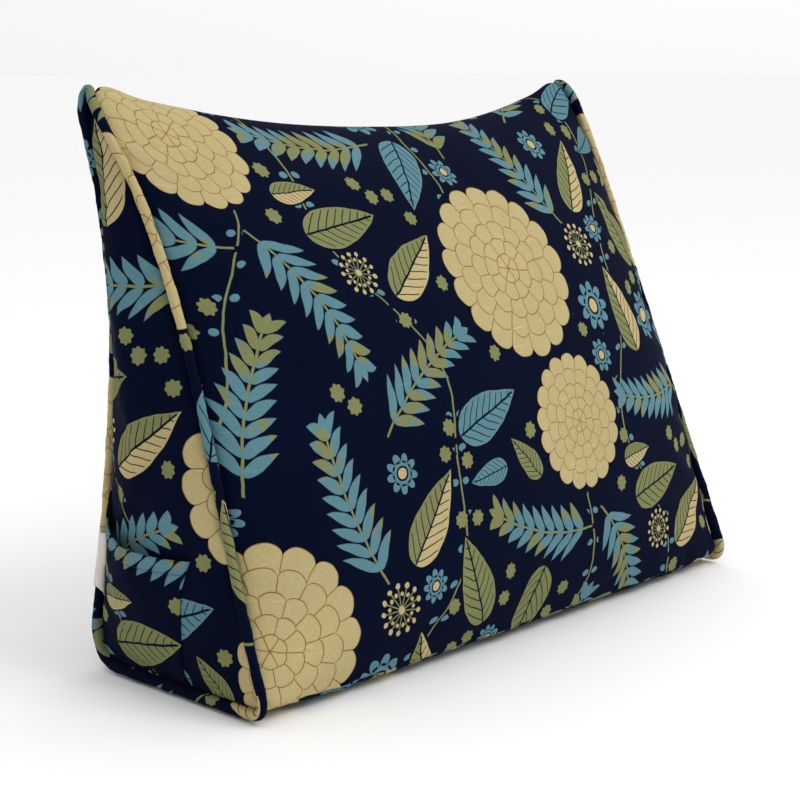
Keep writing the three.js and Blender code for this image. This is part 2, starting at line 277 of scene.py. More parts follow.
def stations():
    """For each point of the seam: draw, top share, base share, panel, shares of the corners."""
    rows = []
    for number, panel in enumerate(PANELS):
        after = PANELS[(number + 1) % len(PANELS)]
        first, last = start_of(after, False), end_of(panel, False)
        start, end = CORNER_NAMES.index(panel["start"]), CORNER_NAMES.index(panel["end"])
        after_end = CORNER_NAMES.index(after["end"])
        for k in range(panel["steps"] + 1):
            t = lerp(start_of(panel, False), last, k / panel["steps"])
            shares = [0.0, 0.0, 0.0]
            shares[start], shares[end] = 1 - t, t
            from_apex = 1 - t if panel["end"] == "apex" else t
            draw, top = draw_at(panel, t), 0
            if number != BASE:
                draw += tuck_at(from_apex * edge_length(panel, False))
                top = smoothstep(1 - from_apex / APEX_BLEND, 0, 1)
            rows.append([draw, top, float(number == BASE), number, *shares])
        at_apex = panel["end"] == "apex"
        for k in range(1, CORNER_STEPS):
            part = k / CORNER_STEPS
            turned = 2 * part - 1
            away = abs(turned) * (1 - last if turned < 0 else first)
            shares = [0.0, 0.0, 0.0]
            shares[start if turned < 0 else after_end] = away
            shares[end] = 1 - away
            draw = lerp(draw_at(panel, last), draw_at(after, first), part)
            if at_apex:
                draw += tuck_at(abs(turned) * CORNERS["apex"]["round"])
            owner = number if turned <= 0 else (number + 1) % len(PANELS)
            rows.append([draw, float(at_apex), 0.0 if at_apex else 0.5, owner, *shares])
    return np.array(rows)


SEAM = cross_section(False)
MIDDLE = cross_section(True)
STATIONS = stations()
COUNT = len(SEAM)
HALF = WIDTH / 2 - STATIONS[:, 0]
TOP_SHARE, BASE_SHARE, OWNER, SHARES = STATIONS[:, 1], STATIONS[:, 2], STATIONS[:, 3], STATIONS[:, 4:7]


def fullness(u):
    reach = abs(u)
    standing = math.sqrt(1 - reach**SWELL_POWER)
    top = (1 - reach**TOP_POWER) ** TOP_SHARPNESS
    return lerp(lerp(standing, plateau(u), BASE_SHARE), top, TOP_SHARE)


# The seam loop seen from the middle of the side panel: its angle and distance at each station
LOOP = SEAM - SIDE_MIDDLE
LOOP_ANGLE = np.unwrap(np.arctan2(LOOP[:, 1], LOOP[:, 0]))
LOOP_SIGN = -1.0 if LOOP_ANGLE[-1] < LOOP_ANGLE[0] else 1.0
LOOP_REACH = np.linalg.norm(LOOP, axis=1)


def place_on_side(yz):
    """The share of the way from the middle to the seam, and the station as a fraction of COUNT."""
    away = np.asarray(yz) - SIDE_MIDDLE
    turned = LOOP_SIGN * (np.arctan2(away[..., 1], away[..., 0]) - LOOP_ANGLE[0])
    turned = np.mod(turned, 2 * math.pi)
    angles = np.append(LOOP_SIGN * (LOOP_ANGLE - LOOP_ANGLE[0]), 2 * math.pi)
    station = np.interp(turned, angles, np.arange(COUNT + 1))
    reach = np.interp(turned, angles, np.append(LOOP_REACH, LOOP_REACH[0]))
    return np.linalg.norm(away, axis=-1) / reach, station


def at_station(values, station):
    looped = np.append(values, values[0])
    return np.interp(station, np.arange(COUNT + 1), looped)


def side_out(yz):
    """How far from the middle of the width a side panel stands at a place of the YZ plane."""
    share, station = place_on_side(yz)
    share = np.minimum(share, 1)
    base = lerp(WIDTH / 2 - SIDE_INSET, at_station(HALF, station), share**2)
    even = 1 / len(CORNER_NAMES)
    product = 1.0
    for column in SHARES.T:
        product = product * lerp(even, at_station(column, station), share) / even
    return base + SIDE_CROWN * np.maximum(0, product) ** CROWN_POWER


def rear_seam_at(z):
    """The rear seam at a height: half the width between the two of them, and its Y."""
    rear = np.flatnonzero(OWNER == BACK)[::-1]
    heights = SEAM[rear, 1]
    return float(np.interp(z, heights, HALF[rear])), float(np.interp(z, heights, SEAM[rear, 0]))


def seam_frame(side):
    """The seam's points, the direction out from it between its two panels, and its arc length."""
    along = np.roll(SEAM, -1, axis=0) - np.roll(SEAM, 1, axis=0)
    along /= np.linalg.norm(along, axis=1, keepdims=True)
    outward = np.column_stack([np.full(COUNT, side), -along[:, 1], along[:, 0]]) * math.sqrt(0.5)
    line = np.column_stack([side * HALF, SEAM])
    return line, outward, arc_length(np.concatenate([line, line[:1]]))


def divided(values, count):
    """A closed row of values divided more finely, as count values in all."""
    station = np.arange(count) * COUNT / count
    return np.column_stack([at_station(column, station) for column in values.T])


# Arc lengths, which are the cloth's own coordinates
def arc_length(points):
    steps = np.linalg.norm(np.diff(points, axis=0), axis=1)
    return np.concatenate([[0], np.cumsum(steps)])


MIDDLE_ARC = arc_length(MIDDLE)


def new_mesh(name, points, faces, uvs=None):
    mesh = bpy.data.meshes.new(name)
    mesh.from_pydata([tuple(p) for p in points], [], faces)
    if uvs is not None:
        layer = mesh.uv_layers.new(name="cloth")
        flat = np.array([uv for face in uvs for uv in face], dtype=np.float32).ravel()
        layer.data.foreach_set("uv", flat)
    mesh.validate()
    mesh.shade_smooth()
    piece = bpy.data.objects.new(name, mesh)
    bpy.context.collection.objects.link(piece)
    return piece


def points_of(mesh):
    flat = np.empty(len(mesh.vertices) * 3)
    mesh.vertices.foreach_get("co", flat)
    return flat.reshape(-1, 3)


def set_points(mesh, points):
    mesh.vertices.foreach_set("co", np.asarray(points, dtype=np.float32).ravel())
    mesh.update()


# Where each panel's cloth lies in the print, in metres: the panels don't match at the seams
CUT = {
    "wrap": (0.0, 0.0),
    "base": (0.37, 0.23),
    "left": (0.61, 0.12),
    "right": (0.16, 0.41),
    "pocket": (0.22, 0.05),
}


def build_body():
    s = np.linspace(-1, 1, WIDTH_STEPS + 1)
    across = EDGE_CROWDING * np.sin(s * math.pi / 2) + (1 - EDGE_CROWDING) * s
    columns = []
    for u in across:
        flat = lerp(SEAM, MIDDLE, fullness(u)[:, None])
        puff = APEX_PUFF * hump(abs(u), PUFF_AT, PUFF_WIDE) + LEFT_PUFF * hump(u, LEFT_PUFF_AT, LEFT_PUFF_WIDE)
        flat[:, 1] += puff * (1 - abs(u) ** PUFF_END) * TOP_SHARE
        columns.append(np.column_stack([HALF * u, flat]))
    points = [np.concatenate(columns)]
    around = MIDDLE_ARC[-1] + np.linalg.norm(MIDDLE[0] - MIDDLE[-1])
    faces, uvs = [], []
    for j in range(WIDTH_STEPS):
        for i in range(COUNT):
            ahead = (i + 1) % COUNT
            corners = [(j, i), (j + 1, i), (j + 1, ahead), (j, ahead)]
            faces.append([jj * COUNT + ii for jj, ii in corners])
            cut = CUT["base" if OWNER[i] == BASE and OWNER[ahead] == BASE else "wrap"]
            below = around if OWNER[ahead] == FRONT and i > COUNT // 2 else 0
            heights = {i: MIDDLE_ARC[i] - below, ahead: (MIDDLE_ARC[ahead] if ahead else around) - below}
            uvs.append([(cut[0] + across[jj] * WIDTH / 2, cut[1] + heights[ii]) for jj, ii in corners])
    inside = side_lattice()
    flat = [Vector(p) for p in np.concatenate([SEAM, inside])]
    ring = [list(range(COUNT))]
    verts, _, triangles, origin, _, _ = delaunay_2d_cdt(flat, [], ring, 1, 1e-7)
    yz = np.array([tuple(v) for v in verts])
    own = np.array([o[0] for o in origin])
    is_inner = own >= COUNT
    for side, column in ((-1, 0), (1, WIDTH_STEPS)):
        first = sum(len(part) for part in points)
        number = np.where(is_inner, first + np.cumsum(is_inner) - 1, column * COUNT + own)
        inner = yz[is_inner]
        points.append(np.column_stack([side * side_out(inner), inner]))
        cut = CUT["left" if side < 0 else "right"]
        for triangle in triangles:
            a, b, c = yz[list(triangle)]
            turn = (b[0] - a[0]) * (c[1] - a[1]) - (b[1] - a[1]) * (c[0] - a[0])
            order = triangle[::-1] if turn * side < 0 else triangle
            faces.append([int(number[k]) for k in order])
            uvs.append([(cut[0] + side * yz[k][0], cut[1] + yz[k][1]) for k in order])
    return new_mesh("cushion_body", np.concatenate(points), faces, uvs)


def side_lattice():
    """Points inside the seam loop: two rings along it, and an even triangle lattice within them."""
    seam = divided(SEAM, COUNT * FINE_STEPS)
    outward = seam_frame(1)[1][:, 1:] * math.sqrt(2)
    rows = []
    for inset in SIDE_RINGS:
        ring = SEAM - outward * inset
        rows += [point for point in ring if distance_to(point, seam) > 0.9 * inset]
    low, high = SEAM.min(axis=0), SEAM.max(axis=0)
    lattice = []
    height = SIDE_CELL * math.sqrt(3) / 2
    for k, z in enumerate(np.arange(low[1], high[1], height)):
        start = low[0] + (SIDE_CELL / 2 if k % 2 else 0)
        lattice += [(y, z) for y in np.arange(start, high[0], SIDE_CELL)]
    lattice = np.array(lattice)
    within = lattice[place_on_side(lattice)[0] < 1]
    margin = SIDE_RINGS[-1] + 0.55 * SIDE_CELL
    rows += [point for point in within if distance_to(point, seam) > margin]
    return np.array(rows)


def distance_to(point, line):
    return math.sqrt(((line - point) ** 2).sum(axis=1).min())


def seam_numbers():
    return np.concatenate([np.arange(COUNT), WIDTH_STEPS * COUNT + np.arange(COUNT)])


def mark_seams(mesh):
    on_seam = np.zeros(len(mesh.vertices), dtype=bool)
    on_seam[seam_numbers()] = True
    ends = np.empty(len(mesh.edges) * 2, dtype=int)
    mesh.edges.foreach_get("vertices", ends)
    ends = ends.reshape(-1, 2)
    seam_edge = on_seam[ends[:, 0]] & on_seam[ends[:, 1]]
    sharp = mesh.attributes.new("sharp_edge", "BOOLEAN", "EDGE")
    sharp.data.foreach_set("value", seam_edge)
    crease = mesh.attributes.new("crease_edge", "FLOAT", "EDGE")
    crease.data.foreach_set("value", seam_edge.astype(np.float32))
    return ends


def settle(body):
    """Cloth under the pressure of its filling, held at its seams and where it stands."""
    mesh = body.data
    rest = points_of(mesh)
    ends = mark_seams(mesh)
    held = body.vertex_groups.new(name="held")
    standing = np.flatnonzero(rest[:, 2] < 0.0005)
    held.add([int(n) for n in np.concatenate([seam_numbers(), standing])], 1.0, "REPLACE")
    cloth = body.modifiers.new("cloth", "CLOTH")
    settings = cloth.settings
    settings.quality = 6
    settings.mass = 0.2
    settings.tension_stiffness = 20
    settings.compression_stiffness = 20
    settings.shear_stiffness = 8
    settings.bending_stiffness = 0.4
    settings.vertex_group_mass = "held"
    settings.use_pressure = True
    settings.uniform_pressure_force = SIM_PRESSURE
    settings.shrink_min = -CLOTH_SPARE
    settings.effector_weights.gravity = 0
    scene = bpy.context.scene
    scene.frame_start, scene.frame_end = 1, SIM_FRAMES
    cloth.point_cache.frame_start, cloth.point_cache.frame_end = 1, SIM_FRAMES
    for number in range(1, SIM_FRAMES + 1):
        scene.frame_set(number)
    graph = bpy.context.evaluated_depsgraph_get()
    settled = points_of(body.evaluated_get(graph).data)
    body.modifiers.remove(cloth)
    body.vertex_groups.remove(held)
    scene.frame_set(1)

    # Only the creases are kept: the shape at large stays that of the solid
    moved = settled - rest
    creases = moved - spread_out(moved, ends, len(rest))
    length = np.linalg.norm(creases, axis=1, keepdims=True)
    creases *= np.minimum(1, MOVE_CAP / np.maximum(length, 1e-9))
    calm = np.ones(len(rest))
    calm[: (WIDTH_STEPS + 1) * COUNT] = np.tile(1 - TOP_CALM * TOP_SHARE, WIDTH_STEPS + 1)
    creases *= calm[:, None]
    creases[seam_numbers()] = 0
    creases[standing] = 0
    settled = rest + creases
    settled[:, 2] = np.maximum(settled[:, 2], 0)
    set_points(mesh, settled)


def spread_out(values, ends, count):
    """Each point's value averaged with its neighbours' again and again."""
    degree = np.bincount(ends.ravel(), minlength=count)[:, None]
    out = values.copy()
    for _ in range(SPREAD_ROUNDS):
        total = np.zeros_like(out)
        for axis in range(out.shape[1]):
            total[:, axis] = np.bincount(ends[:, 0], out[ends[:, 1], axis], count)
            total[:, axis] += np.bincount(ends[:, 1], out[ends[:, 0], axis], count)
        out = 0.5 * out + 0.5 * total / degree
    return out


def refine(piece):
    smoother = piece.modifiers.new("smoother", "SUBSURF")
    smoother.levels = smoother.render_levels = 1
    graph = bpy.context.evaluated_depsgraph_get()
    made = bpy.data.meshes.new_from_object(piece.evaluated_get(graph))
    old = piece.data
    piece.modifiers.clear()
    piece.data = made
    bpy.data.meshes.remove(old)
    made.name = piece.name


def wavering(s, pitch, phase):
    """A wave of uneven pitch and height along a seam, between -1 and 1."""
    bent = s / pitch + 0.28 * np.sin(s * (2 * math.pi / 0.113) + phase)
    height = 0.62 + 0.38 * np.sin(s * (2 * math.pi / 0.071) + 2.1 * phase)
    return height * np.sin(2 * math.pi * bent + phase)


def pull_in_seams(body):
    """Sink the seams into the filling, with puckers beside them and pull lines into the cloth."""
    mesh = body.data
    points = points_of(mesh)
    flat = np.empty(len(points) * 3)
    mesh.vertex_normals.foreach_get("vector", flat)
    normals = flat.reshape(-1, 3)
    lines, outs, arcs, phases = [], [], [], []
    for side, phase in ((-1, 0.4), (1, 2.3)):
        line, outward, arc = seam_frame(side)
        count = COUNT * FINE_STEPS
        lines.append(divided(line, count))
        outs.append(divided(outward, count))
        arcs.append(np.interp(np.arange(count) / FINE_STEPS, np.arange(COUNT + 1), arc))
        phases.append(np.full(count, phase))
    line, out, arc, phase = (np.concatenate(part) for part in (lines, outs, arcs, phases))
    tree = KDTree(len(line))
    for number, point in enumerate(line):
        tree.insert(point, number)
    tree.balance()
    found = [tree.find(point)[1:] for point in points]
    near = np.array([number for number, _ in found])
    distance = np.array([gap for _, gap in found])
    s, phase, on_side = arc[near], phase[near], smoothstep(np.abs(normals[:, 0]), 0.6, 0.8)

    sink = SEAM_SINK * np.exp(-distance / SINK_REACH)
    beside = np.exp(-distance / PUCKER_REACH) * (1 - np.exp(-distance / 0.0016))
    bump = PUCKER * wavering(s, PUCKER_PITCH, phase + 1.5 * on_side) * beside
    inner = smoothstep(distance, 0.002, 0.018) * (1 - smoothstep(distance, 0.024, 0.062))
    trough = np.maximum(0, wavering(s + 0.25 * distance, PULL_PITCH, phase)) ** 1.6
    bump -= PULL * (1 - 0.55 * on_side) * inner * trough
    free = smoothstep(points[:, 2], 0.0008, 0.006)
    move = normals * bump[:, None] - out[near] * sink[:, None]
    points += move * free[:, None]
    points[:, 2] = np.maximum(points[:, 2], 0)
    set_points(mesh, points)


def lean(piece):
    points = points_of(piece.data)
    points[:, 0] -= TOP_LEFT * smoothstep(points[:, 2], *LEAN_HEIGHTS)
    set_points(piece.data, points)
    return piece


# Piping: a cord in its own strip of the print, whose flange runs into the seam
def piping(name, side, phase):
    line, outward, _ = seam_frame(side)
    line = divided(line + outward * CORD_OFFSET, CORD_RINGS)
    outward = divided(outward, CORD_RINGS)
    along = np.roll(line, -1, axis=0) - np.roll(line, 1, axis=0)
    along /= np.linalg.norm(along, axis=1, keepdims=True)
    across = np.cross(along, outward)
    across /= np.linalg.norm(across, axis=1, keepdims=True)
    up = np.cross(across, along)
    arc = arc_length(np.concatenate([line, line[:1]]))
    turns = 2 * math.pi * arc[:-1] / arc[-1]
    on_front = line[:, 1] < CORNERS["toe"]["at"][0] + DEPTH / 2
    from_join = np.where(on_front, line[:, 2] - JOIN_HEIGHT, 1.0)
    join = JOIN_BUMP * np.exp(-((from_join / JOIN_WIDE) ** 2))
    rings = []
    for k in range(CORD_SIDES):
        angle = 2 * math.pi * k / CORD_SIDES
        ripple = np.sin(31 * turns + 2 * angle + phase) + 0.7 * np.sin(53 * turns - angle + 2 * phase)
        ripple += 0.5 * np.sin(127 * turns + 3 * angle)
        radius = CORD_RADIUS + CORD_UNEVEN * (ripple - 0.8) + join * math.cos(angle - 1.1)
        if k == 3 * CORD_SIDES // 4:
            radius = np.full(CORD_RINGS, CORD_OFFSET + SEAM_SINK + 0.0004)
        rings.append(line + radius[:, None] * (across * math.cos(angle) + up * math.sin(angle)))
    points = np.stack(rings, axis=1).reshape(-1, 3)
    faces, uvs = [], []
    girth = 2 * math.pi * CORD_RADIUS
    for i in range(CORD_RINGS):
        here, ahead = i * CORD_SIDES, ((i + 1) % CORD_RINGS) * CORD_SIDES
        for k in range(CORD_SIDES):
            turn = (k + 1) % CORD_SIDES
            faces.append([here + k, ahead + k, ahead + turn, here + turn])
            v0, v1 = girth * k / CORD_SIDES, girth * (k + 1) / CORD_SIDES
            uvs.append([(arc[i], v0), (arc[i + 1], v0), (arc[i + 1], v1), (arc[i], v1)])
    return new_mesh(name, points, faces, uvs)


# Pocket: a patch with a doubled hem, sewn down on three sides and open at its mouth
def pocket_place(a, b):
    front = POCKET_FRONT - MOUTH_FLARE * b**FLARE_POWER
    low = BASE_SEAM + POCKET_INSET
    z = lerp(low, POCKET_HEIGHT + MOUTH_RISE * a**RISE_POWER, b)
    rear = rear_seam_at(max(z, low + 1.4 * POCKET_CORNER))[1] - POCKET_INSET
    y = lerp(front, rear, a)
    middle_y, middle_z = rear - POCKET_CORNER, low + POCKET_CORNER
    p, q = (y - middle_y) / POCKET_CORNER, (middle_z - z) / POCKET_CORNER
    if p > 0 and q > 0:
        y = middle_y + POCKET_CORNER * p * math.sqrt(1 - q * q / 2)
        z = middle_z - POCKET_CORNER * q * math.sqrt(1 - p * p / 2)
    return y, z


def build_pocket(panel):
    def surface(a, b):
        y, z = pocket_place(a, b)
        hit = panel.ray_cast(Vector((-1, y, z)), Vector((1, 0, 0)))[0]
        out = -hit.x if hit else float(side_out((y, z)))
        loose = math.sin(math.pi * a)
        gape = POCKET_GAPE * loose ** (0.8 + 0.6 * a) * float(smoothstep(b, 0, 0.9))
        fold = 0.0011 * loose * math.sin(9.5 * a + 2.2 * b) * b * b
        fold += 0.0006 * loose * math.sin(17 * a - 7 * b) * b
        return out + 0.0004 + gape + fold, y, z

    hem_from = 1 - HEM_DEEP / POCKET_HEIGHT
    low_rows = np.linspace(0, hem_from - 0.006, POCKET_STEPS - 8)
    rows = np.concatenate([low_rows, [hem_from], np.linspace(hem_from + 0.01, 1, 9)])
    columns = np.linspace(0, 1, POCKET_STEPS + 1)
    points, uv_at = [], []
    for face in (0, 1):
        for b in rows:
            for a in columns:
                out, y, z = surface(a, b)
                cloth = POCKET_HEM if b > hem_from else POCKET_CLOTH
                points.append((-(out + face * cloth), y, z))
                uv_at.append((CUT["pocket"][0] - y, CUT["pocket"][1] + z))
    return closed_sheet("pocket_cloth", points, uv_at, len(rows), len(columns))


def closed_sheet(name, points, uv_at, rows, columns):
    """A thin closed solid from two grids of points, the inner face first."""
    outer = rows * columns
    faces = []
    for i in range(rows - 1):
        for j in range(columns - 1):
            a = i * columns + j
            faces.append([a, a + columns, a + columns + 1, a + 1])
            faces.append([outer + a, outer + a + 1, outer + a + columns + 1, outer + a + columns])
    for j in range(columns - 1):
        last = (rows - 1) * columns + j
        faces.append([j, j + 1, outer + j + 1, outer + j])
        faces.append([last, outer + last, outer + last + 1, last + 1])
    for i in range(rows - 1):
        first = i * columns
        last = first + columns - 1
        faces.append([first, outer + first, outer + first + columns, first + columns])
        faces.append([last, last + columns, outer + last + columns, outer + last])
    return new_mesh(name, points, faces, [[uv_at[k] for k in face] for face in faces])


# Tag: a bare tape folded over the cord, with its ends in the rear seam
def build_label(under):
    rows = len(LABEL_LINE)
    arc = arc_length(np.array(LABEL_LINE))
    points, uv_at = [], []
    for face in (0, 1):
        for i, (out, back) in enumerate(LABEL_LINE):
            before, after = LABEL_LINE[max(0, i - 1)], LABEL_LINE[min(rows - 1, i + 1)]
            normal = np.array([after[1] - before[1], before[0] - after[0]])
            normal /= np.linalg.norm(normal)
            low = lerp(LABEL_TIP, LABEL_LOW, float(smoothstep(i, 1.5, 5)))
            for j in range(LABEL_STEPS + 1):
                b = j / LABEL_STEPS
                z = lerp(low, LABEL_HIGH - 0.0012 * i / rows, b)
                half, seam_y = rear_seam_at(z)
                y = seam_y + back - LABEL_SKEW * (b - 0.5) * i / rows
                stands = half + out + 0.0005 * math.sin(5 * b + 1.3) * i / rows
                hit = under.ray_cast(Vector((-1, y, z)), Vector((1, 0, 0)))[0]
                if hit and i < rows // 2:
                    stands = max(stands, LABEL_CLEAR - hit.x)
                thick = face * LABEL_CLOTH
                points.append((-(stands + normal[0] * thick), y + normal[1] * thick, z))
                uv_at.append((arc[i], z))
    return closed_sheet("tag_tape", points, uv_at, rows, LABEL_STEPS + 1), arc[-1]


# Materials. A Field is a number that varies over the cloth, as an output of the tree's nodes.
class Field:
    def __init__(self, tree, socket):
        self.tree = tree
        self.socket = socket

    def math(self, operation, *others, clamp=False):
        node = self.tree.nodes.new("ShaderNodeMath")
        node.operation = operation
        node.use_clamp = clamp
        for slot, value in zip(node.inputs, (self, *others)):
            connect(self.tree, slot, value)
        return Field(self.tree, node.outputs[0])

    def __add__(self, other):
        return self.math("ADD", other)

    def __radd__(self, other):
        return self.math("ADD", other)

    def __sub__(self, other):
        return self.math("SUBTRACT", other)

    def __rsub__(self, other):
        return (self * -1).math("ADD", other)

    def __mul__(self, other):
        return self.math("MULTIPLY", other)

    def __rmul__(self, other):
        return self.math("MULTIPLY", other)

    def __truediv__(self, other):
        return self.math("DIVIDE", other)

    def __pow__(self, other):
        return self.math("POWER", other)

    def abs(self):
        return self.math("ABSOLUTE")

    def cos(self):
        return self.math("COSINE")

    def sin(self):
        return self.math("SINE")

    def sqrt(self):
        return self.math("SQRT")

    def clamped(self):
        return self.math("ADD", 0, clamp=True)

    def fold(self, pitch):
        """The signed distance to the nearest multiple of pitch."""
        return (self / pitch).math("ROUND").math("MULTIPLY_ADD", -pitch, self)

    def min(self, other):
        return self.math("MINIMUM", other)

    def max(self, other):
        return self.math("MAXIMUM", other)

    def above(self, level, soft):
        """1 where the field is over level, with an edge as soft as a print's."""
        return self.math("MULTIPLY_ADD", 1 / soft, 0.5 - level / soft, clamp=True)

    def below(self, level, soft):
        return self.math("MULTIPLY_ADD", -1 / soft, 0.5 + level / soft, clamp=True)


def connect(tree, slot, value):
    if isinstance(value, Field):
        tree.links.new(value.socket, slot)
    elif hasattr(value, "is_output"):
        tree.links.new(value, slot)
    else:
        slot.default_value = value


def any_of(fields):
    out = fields[0]
    for field in fields[1:]:
        out = out.max(field)
    return out


def mixed(tree, under, over, share):
    node = tree.nodes.new("ShaderNodeMix")
    node.data_type = "RGBA"
    connect(tree, node.inputs["Factor"], share)
    connect(tree, node.inputs[6], under)
    connect(tree, node.inputs[7], over)
    return node.outputs[2]


# The print: a half-drop repeat of common plant motifs, in millimetres of cloth. The columns of
# CELL are the steps from one copy of a motif to its next ones.
REPEAT_WIDE = 330.0
REPEAT_HIGH = 540.0
HALF_DROP = 270.0
CELL = np.array([[REPEAT_WIDE, 0.0], [HALF_DROP, REPEAT_HIGH]])
LAYOUT_SEED = 11
LAYOUT_TRIES = 160

# The motifs in the order in which they are laid: half their length, their length over their
# width, and the ground left clear round them
MOTIFS = (
    dict(kind="bloom", count=1, size=82, slim=1, gap=3),
    dict(kind="bloom", count=1, size=60, slim=1, gap=3),
    dict(kind="sprig", count=6, size=74, slim=2.3, gap=1),
    dict(kind="leaf", count=8, size=42, slim=2.05, gap=2),
    dict(kind="daisy", count=3, size=26, slim=1, gap=2),
    dict(kind="head", count=4, size=26, slim=1, gap=2),
    dict(kind="leaf", count=8, size=31, slim=2.05, gap=2),
    dict(kind="daisy", count=5, size=17, slim=1, gap=2),
    dict(kind="berry", count=26, size=7.5, slim=1, gap=2),
)
SLIM = {row["kind"]: row["slim"] for row in MOTIFS}
BLOOM_RINGS = ((1.0, 17, 0.2), (0.78, 15, 0.9), (0.56, 12, 0.4), (0.36, 9, 1.1), (0.17, 6, 0.3))

# The height of the curve sqrt(t) * (1 - t), which gives a leaf its outline
LEAF_PEAK = 0.385

NAVY = (0.0018, 0.0040, 0.0170, 1)
CREAM = (0.485, 0.397, 0.195, 1)
OLIVE = (0.205, 0.218, 0.090, 1)
TEAL = (0.103, 0.228, 0.270, 1)
BROWN = (0.250, 0.135, 0.030, 1)
SEWING = (0.022, 0.036, 0.085, 1)
LOOSE_THREAD = (0.26, 0.33, 0.44, 1)
TAPE = (0.70, 0.68, 0.62, 1)


def scatter():
    """Where each motif lies in the repeat: each in turn as close to the others as its gap lets."""
    draw = np.random.default_rng(LAYOUT_SEED)
    copies = np.array([CELL @ (i, j) for i in (-1, 0, 1) for j in (-2, -1, 0, 1, 2)])
    taken = np.empty((0, 3))
    placed = []
    for row in MOTIFS:
        steps = np.linspace(-1, 1, 5) if row["slim"] > 1 else np.zeros(1)
        for number in range(row["count"]):
            size = row["size"]
            while size > 0.7 * row["size"]:
                radius = size / row["slim"]
                homes = draw.random((LAYOUT_TRIES, 2)) @ CELL.T
                turns = draw.uniform(0, 2 * math.pi, LAYOUT_TRIES)
                ahead = np.column_stack([np.cos(turns), np.sin(turns)])
                reach = steps * (size - radius)
                circles = homes[:, None] + ahead[:, None] * reach[None, :, None]
                clear = np.zeros(LAYOUT_TRIES)
                if len(taken):
                    apart = circles[:, :, None, None] - taken[:, None, :2] - copies
                    free = np.linalg.norm(apart, axis=-1) - taken[:, None, 2] - radius
                    clear = free.min(axis=(1, 2, 3)) - row["gap"]
                if (clear >= 0).any():
                    best = int(np.argmin(np.where(clear >= 0, clear, np.inf)))
                    rows = np.column_stack([circles[best], np.full(len(steps), radius)])
                    taken = np.concatenate([taken, rows])
                    placed.append(dict(
                        kind=row["kind"], home=homes[best], angle=turns[best], size=size, tone=number % 3
                    ))
                    break
                size *= 0.93
    return placed


def mapping(tree, vector, location, turn, scale):
    node = tree.nodes.new("ShaderNodeMapping")
    node.inputs["Location"].default_value = location
    node.inputs["Rotation"].default_value = (0, 0, turn)
    node.inputs["Scale"].default_value = scale
    tree.links.new(vector, node.inputs["Vector"])
    return node.outputs[0]


def vector_math(tree, operation, *values):
    node = tree.nodes.new("ShaderNodeVectorMath")
    node.operation = operation
    for slot, value in zip(node.inputs, values):
        connect(tree, slot, value)
    return node.outputs["Value" if operation == "LENGTH" else "Vector"]


def measured_from(tree, cell_place, motif):
    """The place measured from the nearest copy of a motif: 1 is half its length, or its width."""
    home = np.linalg.solve(CELL, motif["home"])
    c, s = math.cos(motif["angle"]), math.sin(motif["angle"])
    own = np.diag([1, SLIM[motif["kind"]]]) @ np.array([[c, s], [-s, c]]) @ CELL / motif["size"]
    left, scale, right = np.linalg.svd(own)
    if np.linalg.det(left) < 0:
        left[:, 1] *= -1
        scale[1] *= -1
    if np.linalg.det(right) < 0:
        right[1] *= -1
        scale[1] *= -1
    high = (home[0] + 0.5, home[1] + 0.5, 0.5)
    low = (home[0] - 0.5, home[1] - 0.5, -0.5)
    wrapped = vector_math(tree, "WRAP", cell_place, high, low)
    first = mapping(tree, wrapped, (0, 0, 0), math.atan2(right[1, 0], right[0, 0]), (1, 1, 1))
    shift = -own @ home
    turn = math.atan2(left[1, 0], left[0, 0])
    return mapping(tree, first, (shift[0], shift[1], motif["tone"] * 0.01), turn, (*scale, 1))


def nearest(tree, cell_place, motifs):
    """Along and across the nearest of some motifs, in half its length, its tone, and if it is near."""
    best = measured_from(tree, cell_place, motifs[0])
    reach = Field(tree, vector_math(tree, "LENGTH", best))
    for motif in motifs[1:]:
        other = measured_from(tree, cell_place, motif)
        length = Field(tree, vector_math(tree, "LENGTH", other))
        chosen = tree.nodes.new("ShaderNodeMix")
        chosen.data_type = "VECTOR"
        connect(tree, chosen.inputs[0], length.math("LESS_THAN", reach))
        tree.links.new(best, chosen.inputs[4])
        tree.links.new(other, chosen.inputs[5])
        best = chosen.outputs[1]
        reach = reach.min(length)
    apart = tree.nodes.new("ShaderNodeSeparateXYZ")
    tree.links.new(best, apart.inputs[0])
    u, v, tone = (Field(tree, socket) for socket in apart.outputs)
    return u, v / SLIM[motifs[0]["kind"]], tone * 100, reach


def polar(u, v):
    return (u * u + v * v).sqrt(), v.math("ARCTAN2", u)


def bloom(u, v, soft=0.006):
    """A round flower of many petals, ring within ring: its whole shape, and its petals' lines."""
    r, angle = polar(u, v)
    shape, lines = None, None
    for size, petals, twist in BLOOM_RINGS:
        wave = (angle * (petals / 2) + twist).cos().abs()
        inside = (wave**0.45) * (0.13 * size) + (0.87 * size) - r
        within = inside.above(0, soft)
        spoke = (r * wave * (2 / petals)).below(0.0055, soft)
        drawn = (spoke * within).max(inside.abs().below(0.006, soft))
        lines = drawn if lines is None else (lines * (1 - within)).max(drawn)
        shape = within if shape is None else shape
    return shape, lines


def leaf(u, v, soft=0.012):
    """An almond-shaped leaf: its blade, its veins, its far half, and the ground just round it."""
    t = (u * 0.5 + 0.5).clamped()
    side = v.abs()
    half = t.sqrt() * (1 - t) * (0.46 / LEAF_PEAK)
    blade = (half - side).above(0.012, soft)
    veins = (u - side * 0.9 - side * side * 0.5).fold(0.235).abs().below(0.016, soft)
    veins = veins.max(side.below(0.022, soft)) * (half - side).above(0.05, 0.03)
    return blade, veins, v.above(0, soft), (half - side).above(-0.06, 0.01)


